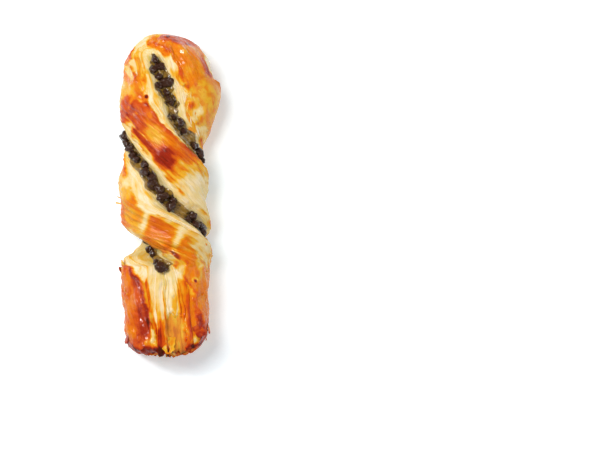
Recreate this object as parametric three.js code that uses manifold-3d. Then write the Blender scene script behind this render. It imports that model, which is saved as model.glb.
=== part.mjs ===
// A chocolate plait: a strip of puff pastry folded over custard and chocolate chips, twisted
// about its long axis and baked flat on a tray.
//
// Millimetres, +Z up. The strip lies along Y, with its folded end at +Y, its open end at -Y and
// its underside on z = 0. A "station" is a place along the strip, from 0 at the folded end to 1
// at the open end. An angle is measured round the strip's axis from straight up towards +X.

import * as THREE from "three";
import { mergeVertices } from "three/addons/utils/BufferGeometryUtils.js";
import Module from "manifold-3d";

const wasm = await Module();
wasm.setup();

// ---------------------------------------------------------------- driving sizes

const LENGTH = 170; // folded end to open end
const CUT_HALF = 20; // axis to a cut side of the strip, where a seam runs
const STACK_HALF = 23; // axis to a glazed skin, over one layer of dough
const SAG = 0.9; // share of its height that the soft dough keeps in the oven
const BED_DEPTH = 17; // axis down to the flat underside
const FOLD_LENGTH = 21; // length of the rounded folded end
const END_ROUND = 4; // rounding of the open end's rim
const END_PARTING = 3; // depth of the parting between the two layers in the open end's face
const PARTING_HALF = 6; // parting's middle to where that face is at its full height
const GROOVE_DEPTH = 5.2; // depth of a seam below the dough beside it
const GROOVE_HALF = 6; // seam centre to where the dough is at its full height
const PINCH_DEPTH = 8.5; // extra depth where the twist stops and the first seam is pinched shut
const PINCH_HALF = 11; // half-length of that pinch
const BEAD_HALF = 3.4; // half-width of the custard that shows in a seam
const BEAD_THICK = 2.2; // thickness of that custard at the middle
const CHIP_RADIUS = 2.1;
const CHIP_HEIGHT = 3.5;
const CHIP_BEDDING = 1.3; // how deep a chip sits in the custard
const CLEARANCE = 0.3; // gap between pieces that touch
const CHIP_GAP = 2; // space between the chips along the hidden stretches of the seams
const TRAY_GAP = 1.2; // least height of a chip over the tray

// The custard lies this far over the dough, so that its gap to a groove's steep sides, which is
// measured square to them, is still about the clearance.
const BEAD_LIFT = CLEARANCE * Math.hypot(1, (Math.PI * GROOVE_DEPTH) / (2 * GROOVE_HALF));

// ---------------------------------------------------------------- shape along the strip

// A smooth curve through [station, value] pairs that never overshoots them: cubic pieces whose
// slope at a pair is the harmonic mean of the slopes beside it.
function track(pairs) {
  const steps = pairs.slice(1).map(([x, y], i) => (y - pairs[i][1]) / (x - pairs[i][0]));
  const slope = pairs.map((_, i) => {
    const before = steps[Math.max(i - 1, 0)];
    const after = steps[Math.min(i, steps.length - 1)];
    return before * after > 0 ? (2 * before * after) / (before + after) : 0;
  });
  return (station) => {
    const x = Math.min(Math.max(station, pairs[0][0]), pairs.at(-1)[0]);
    const i = Math.max(0, pairs.findIndex((pair) => pair[0] >= x) - 1);
    const [x0, y0] = pairs[i];
    const [x1, y1] = pairs[i + 1];
    const width = x1 - x0;
    const u = (x - x0) / width;
    const rise = y0 + (y1 - y0) * u * u * (3 - 2 * u);
    return rise + width * u * (1 - u) * (slope[i] * (1 - u) - slope[i + 1] * u);
  };
}

const radians = THREE.MathUtils.degToRad;
const inDegrees = (pairs) => track(pairs.map(([station, angle]) => [station, radians(angle)]));

// Where each seam lies round the axis. The twist runs fastest in the middle and the open end
// stays flat.
const SEAMS = [
  inDegrees([
    [0, -40], [0.1, -18], [0.17, -4], [0.225, 8], [0.28, 18], [0.32, 33], [0.37, 61],
    [0.45, 115], [0.55, 195], [0.64, 265], [0.676, 300], [0.7, 332], [0.735, 358], [0.8, 364],
    [1, 368],
  ]),
  inDegrees([
    [0, -222], [0.1, -200], [0.17, -183], [0.225, -160], [0.28, -120], [0.32, -85],
    [0.36, -60], [0.4, -42], [0.45, -21], [0.5, -3], [0.54, 15], [0.58, 46], [0.62, 80],
    [0.67, 125], [0.735, 170], [0.8, 182], [1, 187],
  ]),
];
const SEAM_STARTS = 0.075;
const SEAM_ENDS = 0.755;
const SEAM_FADE = 0.035; // share of the length over which a seam deepens
const PINCH_STATION = 0.661;

// The baked strip's swelling and drift, as shares of the two half-sizes and in millimetres.
const stackShare = track([
  [0, 0.94], [0.13, 1.02], [0.21, 1.11], [0.29, 1], [0.37, 0.95], [0.5, 0.98], [0.6, 0.97],
  [0.66, 0.94], [0.74, 0.97], [0.9, 0.93], [1, 0.88],
]);
const cutShare = track([
  [0, 1], [0.2, 1.03], [0.36, 1.02], [0.5, 1], [0.6, 1.02], [0.66, 1], [0.75, 0.98], [1, 0.94],
]);
const drift = track([
  [0, 1.3], [0.16, 1.6], [0.22, 1.1], [0.27, 1], [0.36, -0.6], [0.42, -0.5], [0.54, -0.6],
  [0.62, 1.7], [0.66, 2.9], [0.72, 1.4], [0.8, 0.8], [0.9, 1.5], [1, 2.1],
]);
const squareness = track([[0, 2.2], [0.12, 2.5], [0.6, 2.7], [0.8, 3.4], [1, 3.8]]);

// The open end is cut a little askew: how far the end lies back at each place across it.
const END_SLANT = track([[-22, 4], [-10, 1.2], [3, 0], [12, 1.5], [22, 7]]);
const SLANT_LENGTH = 30;

const smooth = (x) => {
  const u = Math.min(Math.max(x, 0), 1);
  return u * u * (3 - 2 * u);
};

// Half-sizes of the section at a station. The folded end is round over the stack and blunt
// across the strip, as a folded sheet is, and the open end only loses its rim.
function halfSizes(station) {
  const fold = Math.min((station * LENGTH) / FOLD_LENGTH, 1);
  const rim = Math.max(0, 1 - ((1 - station) * LENGTH) / END_ROUND);
  const loss = END_ROUND * (1 - Math.sqrt(1 - rim * rim));
  return {
    cut: CUT_HALF * cutShare(station) * (1 - (1 - fold) ** 3.4) ** (1 / 3.4) - loss,
    stack: STACK_HALF * stackShare(station) * Math.sqrt(1 - (1 - fold) ** 2) - loss,
  };
}

// Radius of the plain section, a superellipse whose axes point at the seams and at the skins.
function sectionRadius(station, angle) {
  const facing = (SEAMS[0](station) + SEAMS[1](station) + Math.PI) / 2;
  const { cut, stack } = halfSizes(station);
  const power = squareness(station);
  const across = Math.abs(Math.cos(angle - facing)) / cut;
  const along = Math.abs(Math.sin(angle - facing)) / stack;
  return (across ** power + along ** power) ** (-1 / power);
}

// Millimetres square to a seam for each radian round the axis: less where the seam runs askew.
function seamReach(station, seam) {
  const step = 0.002;
  const turn = (SEAMS[seam](station + step) - SEAMS[seam](station - step)) / (2 * step * LENGTH);
  const radius = sectionRadius(station, SEAMS[seam](station));
  return radius / Math.hypot(1, radius * turn);
}

const seamDepth = (station) =>
  smooth((station - SEAM_STARTS) / SEAM_FADE) * smooth((SEAM_ENDS - station) / SEAM_FADE);

const shortWay = (angle) => Math.atan2(Math.sin(angle), Math.cos(angle));

// A bump one high at zero that falls to nothing at its half-width, along a cosine.
const hump = (away, half) => (away < half ? (1 + Math.cos((Math.PI * away) / half)) / 2 : 0);

// How far the dough lies below its plain section in the groove of each seam and in the pinch.
function grooveCut(station, angle) {
  const away = SEAMS.map(
    (seam, i) => Math.abs(shortWay(angle - seam(station))) * seamReach(station, i),
  );
  const grooves = hump(away[0], GROOVE_HALF) + hump(away[1], GROOVE_HALF);
  const along = Math.abs(station - PINCH_STATION) * LENGTH;
  const pinch = hump(along, PINCH_HALF) * hump(away[0], 2 * GROOVE_HALF);
  return GROOVE_DEPTH * seamDepth(station) * grooves + PINCH_DEPTH * pinch;
}

// A point of the strip from its station, angle and distance from the axis.
function place(station, angle, radius) {
  const x = drift(station) + radius * Math.sin(angle);
  const slant = END_SLANT(x) * smooth(1 - ((1 - station) * LENGTH) / SLANT_LENGTH);
  const y = LENGTH / 2 - station * LENGTH + slant;
  return new THREE.Vector3(x, y, BED_DEPTH + SAG * radius * Math.cos(angle));
}

const doughRadius = (station, angle) => sectionRadius(station, angle) - grooveCut(station, angle);

// ---------------------------------------------------------------- meshes and solids

// A closed mesh over rings of points: ring after ring, with a tip at each end. Each quad is
// split the way that the twist leans, which is its shorter diagonal.
function ringedGeometry(rings, firstTip, lastTip) {
  const around = rings[0].length;
  const points = [firstTip, ...rings.flat(), lastTip];
  const at = (ring, column) => 1 + ring * around + (column % around);
  const last = points.length - 1;
  const faces = [];
  for (let column = 0; column < around; column++) {
    faces.push(0, at(0, column), at(0, column + 1));
    faces.push(last, at(rings.length - 1, column + 1), at(rings.length - 1, column));
    for (let ring = 0; ring + 1 < rings.length; ring++) {
      const corners = [at(ring, column + 1), at(ring + 1, column)];
      faces.push(at(ring, column), corners[1], corners[0]);
      faces.push(corners[0], corners[1], at(ring + 1, column + 1));
    }
  }
  const geometry = new THREE.BufferGeometry().setFromPoints(points);
  return geometry.setIndex(faces);
}

function solidOf(geometry) {
  const bare = geometry.clone();
  for (const name of Object.keys(bare.attributes)) {
    if (name !== "position") bare.deleteAttribute(name);
  }
  const merged = mergeVertices(bare, 1e-4);
  const vertProperties = new Float32Array(merged.attributes.position.array);
  const triVerts = new Uint32Array(merged.index.array);
  return new wasm.Manifold(new wasm.Mesh({ numProp: 3, vertProperties, triVerts }));
}

// What of a solid lies over a level, with the tray at level 0.
function trimmedBelow(solid, level) {
  const reach = 2 * LENGTH;
  const above = new THREE.BoxGeometry(reach, reach, reach).translate(0, 0, reach / 2 + level);
  return solid.intersect(solidOf(above));
}

function geometryOf(solid) {
  const { vertProperties, triVerts, numProp } = solid.getMesh();
  const count = vertProperties.length / numProp;
  const positions = new Float32Array(count * 3);
  for (let i = 0; i < count; i++) {
    positions.set(vertProperties.subarray(i * numProp, i * numProp + 3), i * 3);
  }
  const geometry = new THREE.BufferGeometry();
  geometry.setAttribute("position", new THREE.BufferAttribute(positions, 3));
  return geometry.setIndex(new THREE.BufferAttribute(new Uint32Array(triVerts), 1));
}

// ---------------------------------------------------------------- dough

const FOLD_ROWS = 7;
const BODY_ROWS = 50;
const RIM_ROWS = 3;
const FACE_SHARES = [0.15, 0.5]; // rings of the open end's face
const SKIN_COLUMNS = 8;
const NEAR_SEAM = [BEAD_HALF / 2, BEAD_HALF, GROOVE_HALF]; // columns beside a seam, from its centre
const NEAR_SHARE = 0.09; // most of a sector that one such column may take

// Stations of the rows, closer together where an end rounds over.
function rowStations() {
  const rows = [];
  const foldEnd = FOLD_LENGTH / LENGTH;
  const rimStart = 1 - END_ROUND / LENGTH;
  for (let i = 1; i <= FOLD_ROWS; i++) {
    rows.push(foldEnd * (1 - Math.cos((Math.PI / 2) * (i / FOLD_ROWS))));
  }
  for (let i = 1; i <= BODY_ROWS; i++) rows.push(foldEnd + ((rimStart - foldEnd) * i) / BODY_ROWS);
  for (let i = 1; i <= RIM_ROWS; i++) {
    rows.push(1 - (1 - rimStart) * (1 - Math.sin((Math.PI / 2) * (i / RIM_ROWS))));
  }
  return rows;
}

// Angle of a column beside a seam. Close to the ends, where the section is small, it keeps to
// its share of the way to the other seam.
function besideSeam(station, seam, index, side, sector) {
  const wanted = NEAR_SEAM[index] / seamReach(station, seam);
  const most = NEAR_SHARE * (index + 1) * sector;
  return SEAMS[seam](station) + side * Math.min(wanted, most);
}

// Angles of the columns at a station, from the first seam round past the second.
function columnAngles(station) {
  const [first, second] = [SEAMS[0](station), SEAMS[1](station) + 2 * Math.PI];
  const sides = [
    { from: 0, to: 1, sector: second - first, turn: 2 * Math.PI },
    { from: 1, to: 0, sector: first + 2 * Math.PI - second, turn: 0 },
  ];
  return sides.flatMap(({ from, to, sector, turn }) => {
    const base = from === 1 ? 2 * Math.PI : 0;
    const rise = NEAR_SEAM.map((_, i) => base + besideSeam(station, from, i, 1, sector));
    const goal = to === 1 ? turn : 2 * Math.PI;
    const fall = NEAR_SEAM.map((_, i) => goal + besideSeam(station, to, i, -1, sector)).reverse();
    const gap = (fall[0] - rise.at(-1)) / (SKIN_COLUMNS + 1);
    const between = Array.from({ length: SKIN_COLUMNS }, (_, i) => rise.at(-1) + gap * (i + 1));
    return [base + SEAMS[from](station), ...rise, ...between, ...fall];
  });
}

// A point of the open end's face, as a share of the way in from its rim. The two layers part
// along the plane of the seams.
function faceIn(angle, share, proud = 0) {
  const radius = (doughRadius(1, angle) + proud) * (1 - share);
  const beside = Math.abs(radius * Math.sin(angle - SEAMS[0](1)));
  const parting = new THREE.Vector3(0, END_PARTING * hump(beside, PARTING_HALF), 0);
  return place(1, angle, radius).add(parting);
}

// The strip's whole outside, or a copy that stands proud of it.
function doughSolid(proud = 0) {
  const rings = rowStations().map((station) =>
    columnAngles(station).map((angle) => place(station, angle, doughRadius(station, angle) + proud)),
  );
  const face = FACE_SHARES.map((share) =>
    columnAngles(1).map((angle) => faceIn(angle, share, proud)),
  );
  return solidOf(ringedGeometry([...rings, ...face], place(0, 0, 0), faceIn(0, 1, proud)));
}

// ---------------------------------------------------------------- custard

// The custard that shows in a seam: a bead on the groove's floor, thickest along its middle and
// cut to the dough below it.
function beadSolid(seam) {
  const from = SEAM_STARTS + SEAM_FADE / 2;
  const to = SEAM_ENDS - SEAM_FADE / 2;
  const stations = rowStations().filter((station) => station > from && station < to);
  const columns = [-2, -1, 0, 1, 2];
  const rings = stations.map((station) => {
    const [first, second] = [SEAMS[0](station), SEAMS[1](station) + 2 * Math.PI];
    const sectors = [second - first, first + 2 * Math.PI - second];
    const angleOf = (column) => {
      if (column === 0) return SEAMS[seam](station);
      const sector = column > 0 ? sectors[seam] : sectors[1 - seam];
      return besideSeam(station, seam, Math.abs(column) - 1, Math.sign(column), sector);
    };
    const thick = (column) => BEAD_THICK * seamDepth(station) * (1 - 0.22 * column * column);
    const layer = (rise) =>
      columns.map((column) => {
        const angle = angleOf(column);
        return place(station, angle, doughRadius(station, angle) + rise(column));
      });
    const over = layer((column) => BEAD_LIFT + thick(column));
    const under = layer(() => -CLEARANCE);
    return [...over, ...under.reverse()];
  });
  const middle = (ring) =>
    ring.reduce((sum, point) => sum.add(point), new THREE.Vector3()).divideScalar(ring.length);
  return solidOf(ringedGeometry(rings, middle(rings[0]), middle(rings.at(-1))));
}

// ---------------------------------------------------------------- chocolate chips

// Chips that show from above, as [station, millimetres beside the seam, size].
const SHOWN_CHIPS = [
  [
    [0.098, 0.4, 0.95], [0.119, 1.5, 1], [0.128, -2.6, 0.95], [0.151, -0.8, 0.9],
    [0.175, -2, 1.1], [0.166, 2.4, 1.1], [0.2, -0.4, 0.95], [0.227, 0.3, 1.15],
    [0.272, -1.2, 1], [0.294, 0.3, 1.15], [0.318, -0.3, 0.95], [0.358, 0, 1], [0.38, 0.2, 1.05],
    [0.678, 0, 0.9], [0.693, 0.3, 0.8], [0.716, 0, 0.95], [0.737, 0.2, 1.1],
  ],
  [
    [0.352, -1, 1.15], [0.366, 1.6, 1.05], [0.386, 0.2, 1.15], [0.405, -0.2, 0.9],
    [0.422, 1.2, 0.9], [0.441, -0.3, 1], [0.461, 0.6, 0.95], [0.482, -0.6, 1],
    [0.503, 0.3, 1.05], [0.523, -0.9, 1.15], [0.532, 1.9, 0.95], [0.547, -0.4, 1.15],
    [0.576, 1.6, 1.2], [0.586, -1.2, 1], [0.598, 1.8, 1], [0.603, -1.8, 1.05],
    [0.615, 1.2, 1.1], [0.629, -0.6, 1],
  ],
];

// Stretches of each seam that turn under the strip, where the chips follow one another.
const HIDDEN_STRETCHES = [[[0.4, 0.665]], [[0.1, 0.335], [0.645, 0.73]]];

const GOLDEN_ANGLE = Math.PI * (3 - Math.sqrt(5));

// Evenly paced chips along a stretch, stepped by the seam's own length.
function pacedChips(seam, [from, to]) {
  const chips = [];
  const pitch = 2 * CHIP_RADIUS + CHIP_GAP;
  for (let station = from; station < to; ) {
    const count = chips.length;
    chips.push([station, 1.3 * Math.sin(count * GOLDEN_ANGLE), 1 + 0.12 * Math.cos(count * 2)]);
    const radius = sectionRadius(station, SEAMS[seam](station));
    station += (pitch * seamReach(station, seam)) / radius / LENGTH;
  }
  return chips;
}

// A baking chip: a low drop with a broad base and a blunt tip, tumbled its own way.
function chipGeometry(size, index) {
  const profile = [[0, -0.5], [0.8, -0.5], [1, -0.15], [0.72, 0.25], [0, 0.5]];
  const outline = profile.map(
    ([radius, height]) => new THREE.Vector2(radius * CHIP_RADIUS * size, height * CHIP_HEIGHT * size),
  );
  const [lean, roll] = [0.9 * Math.sin(index * 2.1), 0.9 * Math.cos(index * 1.7)];
  const tumble = new THREE.Euler(lean, index * GOLDEN_ANGLE, roll);
  const geometry = new THREE.LatheGeometry(outline, 7);
  return geometry.applyMatrix4(new THREE.Matrix4().makeRotationFromEuler(tumble));
}

// Where a chip's middle comes, with its lowest point pressed into the custard by its bedding.
function chipPlace(seam, station, beside, shape) {
  const middle = SEAMS[seam](station);
  const angle = middle + beside / seamReach(station, seam);
  const floor = doughRadius(station, middle);
  const under = place(station, angle, floor);
  const out = place(station, angle, floor + 1).sub(under).normalize();
  const corners = shape.attributes.position;
  let lowest = 0;
  for (let i = 0; i < corners.count; i++) {
    lowest = Math.min(lowest, out.dot(new THREE.Vector3().fromBufferAttribute(corners, i)));
  }
  const bed = (BEAD_THICK - CHIP_BEDDING) * seamDepth(station);
  return under.addScaledVector(out, BEAD_LIFT + CLEARANCE + bed - lowest);
}

// The chips in order, each cut clear of those before it, with the pocket that it leaves.
function chipSolids() {
  const chips = [];
  const listed = [0, 1].flatMap((seam) => {
    const hidden = HIDDEN_STRETCHES[seam].flatMap((ends) => pacedChips(seam, ends));
    return [...SHOWN_CHIPS[seam], ...hidden].map((chip) => [seam, ...chip]);
  });
  listed.forEach(([seam, station, beside, size], index) => {
    const shape = chipGeometry(size, index);
    const centre = chipPlace(seam, station, beside, shape);
    if (centre.z < CHIP_RADIUS * size + TRAY_GAP) return;
    const grown = 1 + CLEARANCE / (Math.min(CHIP_RADIUS, CHIP_HEIGHT / 2) * size);
    const at = [centre.x, centre.y, centre.z];
    const pocket = solidOf(shape.clone().scale(grown, grown, grown)).translate(at);
    let solid = solidOf(shape).translate(at);
    for (const other of chips) {
      const near = other.centre.distanceTo(centre) < 3 * CHIP_RADIUS;
      if (near) solid = solid.subtract(other.pocket);
    }
    chips.push({ centre, solid, pocket });
  });
  return chips;
}

// ---------------------------------------------------------------- assembly

const MATERIALS = {
  pastry: new THREE.MeshStandardMaterial({ color: 0xe3a552, roughness: 0.55, metalness: 0 }),
  custard: new THREE.MeshStandardMaterial({ color: 0xb99a52, roughness: 0.3, metalness: 0 }),
  chocolate: new THREE.MeshStandardMaterial({ color: 0x2e1c17, roughness: 0.35, metalness: 0 }),
};

function named(name, solid, material) {
  const mesh = new THREE.Mesh(geometryOf(solid), material);
  mesh.name = name;
  return mesh;
}

function plait() {
  const chips = chipSolids();
  const hollowed = (solid) => chips.reduce((left, chip) => left.subtract(chip.pocket), solid);
  const dough = trimmedBelow(doughSolid(), 0);
  const doughAndGap = doughSolid(BEAD_LIFT);
  const bead = (seam) => trimmedBelow(beadSolid(seam).subtract(doughAndGap), CLEARANCE);
  const pieces = [
    named("pastry_twist", hollowed(dough), MATERIALS.pastry),
    named("custard_seam_a", hollowed(bead(0)), MATERIALS.custard),
    named("custard_seam_b", hollowed(bead(1)), MATERIALS.custard),
    ...chips.map(({ solid }, i) =>
      named(`chocolate_chip_${String(i + 1).padStart(2, "0")}`, solid, MATERIALS.chocolate),
    ),
  ];
  const group = new THREE.Group();
  group.add(...pieces);
  const box = new THREE.Box3().setFromObject(group);
  const middle = box.getCenter(new THREE.Vector3());
  group.position.set(-middle.x, -middle.y, -box.min.z);
  return group;
}

export default plait();
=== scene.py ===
"""The looks of a chocolate plait: puff pastry folded over custard and chocolate chips, twisted
and baked. Lengths inside the shape functions are millimetres and become metres in the mesh.

A "station" is a place along the strip, from 0 at the folded end to 1 at the open end. An angle
is measured round the strip's axis from straight up towards +X. The two seams are the strip's
cut sides, where custard shows, and the two skins between them are its glazed outside.
"""

import math

import bpy
import numpy as np
from bpy.props import FloatProperty, FloatVectorProperty, IntProperty, PointerProperty
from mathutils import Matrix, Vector


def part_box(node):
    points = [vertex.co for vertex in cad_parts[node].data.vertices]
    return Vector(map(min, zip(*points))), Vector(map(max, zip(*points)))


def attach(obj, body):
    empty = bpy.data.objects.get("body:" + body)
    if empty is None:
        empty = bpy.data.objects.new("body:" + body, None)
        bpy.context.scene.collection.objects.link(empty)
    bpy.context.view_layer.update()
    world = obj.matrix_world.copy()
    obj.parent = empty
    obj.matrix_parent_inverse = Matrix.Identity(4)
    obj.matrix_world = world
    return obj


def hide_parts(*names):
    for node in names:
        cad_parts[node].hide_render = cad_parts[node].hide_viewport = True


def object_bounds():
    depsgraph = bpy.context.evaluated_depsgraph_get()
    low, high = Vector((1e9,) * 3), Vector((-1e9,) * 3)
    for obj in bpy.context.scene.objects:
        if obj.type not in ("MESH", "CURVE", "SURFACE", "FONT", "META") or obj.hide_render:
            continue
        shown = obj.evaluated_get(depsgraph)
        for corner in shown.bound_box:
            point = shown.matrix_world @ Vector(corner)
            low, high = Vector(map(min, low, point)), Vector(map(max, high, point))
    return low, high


bl_info = {
    "name": "Chocolate plait",
    "version": (1, 0, 0),
    "blender": (4, 5, 0),
    "location": "View3D > Sidebar > Plait",
    "description": "Builds a baked, glazed chocolate plait and its stage",
    "category": "Add Mesh",
}

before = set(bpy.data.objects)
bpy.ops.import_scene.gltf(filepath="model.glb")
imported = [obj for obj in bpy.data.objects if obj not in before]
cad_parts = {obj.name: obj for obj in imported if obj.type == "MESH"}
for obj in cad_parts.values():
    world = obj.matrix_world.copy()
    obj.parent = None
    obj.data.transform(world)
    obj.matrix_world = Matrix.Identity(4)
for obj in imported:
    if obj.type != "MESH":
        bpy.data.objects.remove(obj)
CAD_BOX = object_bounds()
MM = 0.001
DOUGH_LOW, DOUGH_HIGH = (np.array(corner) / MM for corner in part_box("pastry_twist"))


def colour(red, green, blue):
    """Linear colour from display values of 0 to 255."""
    display = np.array([red, green, blue]) / 255
    low, high = display / 12.92, ((display + 0.055) / 1.055) ** 2.4
    return tuple(float(v) for v in np.where(display <= 0.04045, low, high))


# ---------------------------------------------------------------- settings


def length_setting(name, description, metres):
    """A length that a user may change."""
    return FloatProperty(name=name, description=description, default=metres, unit="LENGTH")


def count_setting(name, description, number, most):
    """A number of things that a user may change."""
    return IntProperty(name=name, description=description, default=number, min=0, max=most)


def colour_setting(name, description, red, green, blue):
    """A colour that a user may change, from display values of 0 to 255."""
    tint = colour(red, green, blue)
    return FloatVectorProperty(name=name, description=description, default=tint, subtype="COLOR")


class PlaitSizes(bpy.types.PropertyGroup):
    """Sizes and numbers of the baked detail."""

    leaf_pitch: length_setting(
        "Leaf pitch", "Distance between the edges of two leaves of pastry on a cut side", 0.00135
    )
    leaf_rise: length_setting(
        "Leaf rise", "How far a leaf's edge stands over the next one", 0.00044
    )
    skin_rise: length_setting(
        "Skin rise", "How far the glazed skin stands over the cut side beside it", 0.0007
    )
    wrinkle_rise: length_setting(
        "Wrinkle rise", "Height of the wrinkles in the glazed skin", 0.00028
    )
    lump_rise: length_setting("Lump rise", "Height of the slow swellings of the dough", 0.0006)
    flake_thickness: length_setting("Flake thickness", "Thickness of a loose flake", 0.00028)
    slivers: count_setting(
        "Slivers", "How many thin loose leaves lie along the cut sides", 26, 200
    )
    crumbs: count_setting("Crumbs", "How many small loose flakes lie on the dough", 44, 400)
    seed: IntProperty(
        name="Seed", description="Chooses the pattern of the baked detail", default=7
    )
    subsurface: FloatProperty(
        name="Subsurface",
        description="Share of the light that travels inside the dough",
        default=0.12,
        min=0,
        max=1,
        subtype="FACTOR",
    )


class PlaitColours(bpy.types.PropertyGroup):
    """Colours of the dough by how far it is baked, and of the filling."""

    pale: colour_setting("Pale dough", "Dough that the oven hardly coloured", 251, 230, 194)
    straw: colour_setting("Straw", "Lightly baked dough", 244, 213, 144)
    gold: colour_setting("Gold", "Glazed dough with a golden bake", 238, 176, 40)
    orange: colour_setting("Orange", "Glazed dough with a full bake", 232, 126, 4)
    copper: colour_setting("Copper", "Glazed dough with a strong bake", 212, 82, 14)
    red_brown: colour_setting(
        "Red brown", "Glazed dough where the bake is strongest", 164, 40, 12
    )
    dark: colour_setting("Dark", "Scorched edges", 84, 28, 12)
    soak: colour_setting("Soaked dough", "Dough that took up custard", 214, 190, 92)
    custard: colour_setting("Custard", "Baked custard", 150, 114, 42)
    custard_dark: colour_setting(
        "Custard with chocolate", "Custard that chocolate has melted into", 50, 32, 16
    )
    chocolate: colour_setting("Chocolate", "Chocolate chips", 60, 33, 21)


class StageSettings(bpy.types.PropertyGroup):
    """The floor, the lights and the camera."""

    elevation: FloatProperty(
        name="Elevation",
        description="Camera's angle over the floor",
        default=math.radians(84),
        subtype="ANGLE",
    )
    lens: FloatProperty(
        name="Lens", description="Camera's focal length", default=100, unit="CAMERA"
    )
    view_width: length_setting(
        "View width", "Width that the camera sees at the plait", 0.3158
    )
    beside: length_setting(
        "Aim beside", "How far to the plait's right the camera aims", 0.0704
    )
    before: length_setting(
        "Aim before", "How far in front of the plait's middle the camera aims", 0.0169
    )


# ---------------------------------------------------------------- curves and noise


def track(pairs):
    """A smooth curve through (place, value) pairs that never overshoots them.

    Between two pairs it is a cubic, whose slope at a pair is the harmonic mean of the slopes
    beside it, or flat where they differ in sign.
    """
    place, value = np.array(pairs, float).T
    steps = np.diff(value) / np.diff(place)
    before, after = np.r_[steps[:1], steps], np.r_[steps, steps[-1:]]
    same = before * after > 0
    total = np.where(same, before + after, 1)
    slope = np.where(same, 2 * before * after / total, 0)

    def curve(x):
        x = np.clip(x, place[0], place[-1])
        i = np.clip(np.searchsorted(place, x, side="right") - 1, 0, len(place) - 2)
        width = place[i + 1] - place[i]
        u = (x - place[i]) / width
        rise = value[i] + (value[i + 1] - value[i]) * u * u * (3 - 2 * u)
        return rise + width * u * (1 - u) * (slope[i] * (1 - u) - slope[i + 1] * u)

    return curve


def smooth(x):
    """Rises from 0 to 1 as x goes from 0 to 1, level at both ends."""
    u = np.clip(x, 0, 1)
    return u * u * (3 - 2 * u)


def hump(away, half):
    """One at zero, falling to nothing at the half-width, along a cosine."""
    return np.where(away < half, (1 + np.cos(np.pi * np.clip(away / half, 0, 1))) / 2, 0)


def bell(away, half):
    """One at zero, falling as a bell curve that is 0.37 at the half-width."""
    return np.exp(-((away / half) ** 2))


RIPPLE_WAVES = 7  # waves in each octave of ripples
RIPPLE_PEAK = 3.1  # height that the sum of the waves seldom passes


def ripples(points, size, seed, octaves=2):
    """A smooth random field, about -1 to 1, over points whose last axis holds coordinates.

    It is a sum of sine waves in random directions, about the given size from crest to crest,
    each at 0.7 to 1.4 times its octave's pace. Each further octave is half the size and half
    the height.
    """
    rng = np.random.default_rng(seed)
    total = np.zeros(points.shape[:-1])
    for octave in range(octaves):
        for _ in range(RIPPLE_WAVES):
            ways = rng.normal(size=points.shape[-1])
            pace = 2 ** octave * rng.uniform(0.7, 1.4) * 2 * np.pi / size
            ways *= pace / np.linalg.norm(ways)
            total += 0.5 ** octave * np.sin(points @ ways + rng.uniform(0, 2 * np.pi))
    return total / RIPPLE_PEAK


# ---------------------------------------------------------------- shape of the strip

LENGTH = DOUGH_HIGH[1] - DOUGH_LOW[1]
CUT_HALF = 20  # half the section towards its seams
STACK_HALF = 23  # half the section towards its skins
SAG = 0.9  # height of the section as a share of its width
BED_DEPTH = 17  # height of the strip's axis over the floor
FOLD_LENGTH = 21  # length of the round folded end
FOLD_POWER = 3.4  # how square that end is at its sides: 2 is round
END_ROUND = 4  # radius of the open end's rim
SLANT_LENGTH = 30  # length over which the open end's slant fades
GROOVE_DEPTH = 5.2  # depth of the groove that a seam lies in
GROOVE_HALF = 6  # half-width of that groove
PINCH_STATION = 0.661  # where the twist pinches the first seam
PINCH_DEPTH = 8.5  # depth of the pinch
PINCH_HALF = 11  # half its length along the strip
BEAD_HALF = 3.4  # half-width of the custard
BEAD_THICK = 2.2  # thickness of the custard
SEAM_STARTS = 0.075  # station where the seams start
SEAM_ENDS = 0.755  # station where they end
SEAM_FADE = 0.035  # how far along they take to reach full depth

# Over the station: the angle of each seam in degrees, the section's two sizes as shares of
# those above, how far the axis lies to the right, and the power of the section's superellipse.
# The last track is over the place across, and tells how far the open end's face is drawn back.
SEAM_TRACKS = [
    track([
        (0, -40), (0.1, -18), (0.17, -4), (0.225, 8), (0.28, 18), (0.32, 33), (0.37, 61),
        (0.45, 115), (0.55, 195), (0.64, 265), (0.676, 300), (0.7, 332), (0.735, 358),
        (0.8, 364), (1, 368),
    ]),
    track([
        (0, -222), (0.1, -200), (0.17, -183), (0.225, -160), (0.28, -120), (0.32, -85),
        (0.36, -60), (0.4, -42), (0.45, -21), (0.5, -3), (0.54, 15), (0.58, 46), (0.62, 80),
        (0.67, 125), (0.735, 170), (0.8, 182), (1, 187),
    ]),
]
stack_share = track([
    (0, 0.94), (0.13, 1.02), (0.21, 1.11), (0.29, 1), (0.37, 0.95), (0.5, 0.98), (0.6, 0.97),
    (0.66, 0.94), (0.74, 0.97), (0.9, 0.93), (1, 0.88),
])
cut_share = track([
    (0, 1), (0.2, 1.03), (0.36, 1.02), (0.5, 1), (0.6, 1.02), (0.66, 1), (0.75, 0.98), (1, 0.94),
])
drift = track([
    (0, 1.3), (0.16, 1.6), (0.22, 1.1), (0.27, 1), (0.36, -0.6), (0.42, -0.5), (0.54, -0.6),
    (0.62, 1.7), (0.66, 2.9), (0.72, 1.4), (0.8, 0.8), (0.9, 1.5), (1, 2.1),
])
squareness = track([(0, 2.2), (0.12, 2.5), (0.6, 2.7), (0.8, 3.4), (1, 3.8)])
end_slant = track([(-22, 4), (-10, 1.2), (3, 0), (12, 1.5), (22, 7)])

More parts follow.
